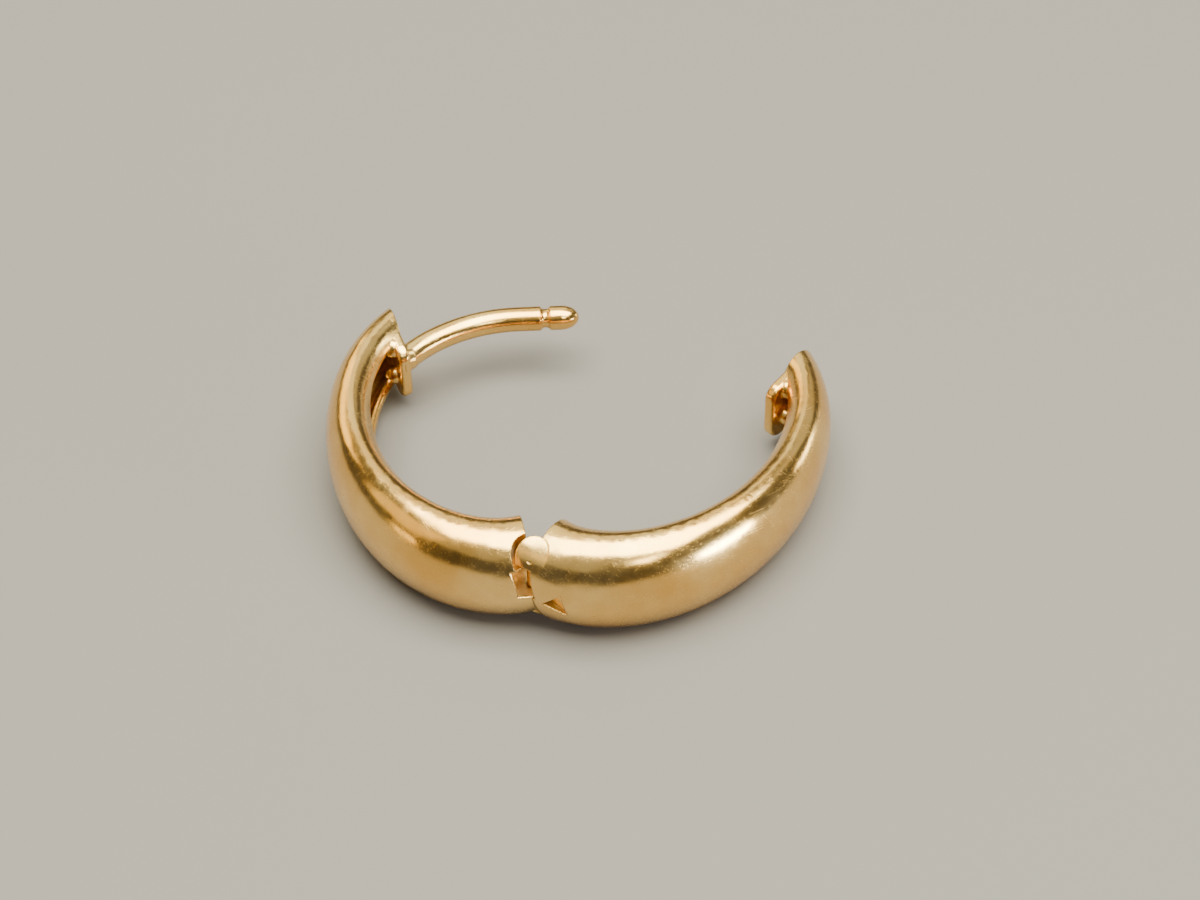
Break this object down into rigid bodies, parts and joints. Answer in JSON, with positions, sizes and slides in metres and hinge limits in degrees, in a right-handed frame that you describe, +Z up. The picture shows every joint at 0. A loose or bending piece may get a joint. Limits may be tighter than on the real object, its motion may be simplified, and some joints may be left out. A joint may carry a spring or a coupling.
{
  "type": "hinged hoop earring",
  "caption": "Small hinged hoop earring, opened: a hollow domed band in two halves that swing on a pin, with a curved ear post on one half and a catch plate on the other.",
  "frame": {"origin": "centre of the bounding box, on the plane that the opened hoop lies on", "axes": "+Z up across the width of the band, +X from the half with the ear post to the half with the catch, +Y from the hinge towards the open ends"},
  "size_m": [0.0166, 0.0136, 0.0036],
  "materials": {
    "half_gold": null,
    "pin_gold": null
  },
  "bodies": {
    "post_side": {"post_half": "half_gold"},
    "catch_side": {"catch_half": "half_gold", "hinge_pin": "pin_gold"}
  },
  "joints": [
    {"name": "hoop_hinge", "type": "hinge", "parent": "post_side", "child": "catch_side", "pos_m": [-0.00147, -0.00568, 0.00178], "axis": [0, 0, 1], "range_deg": [-12, 43.3]}
  ]
}
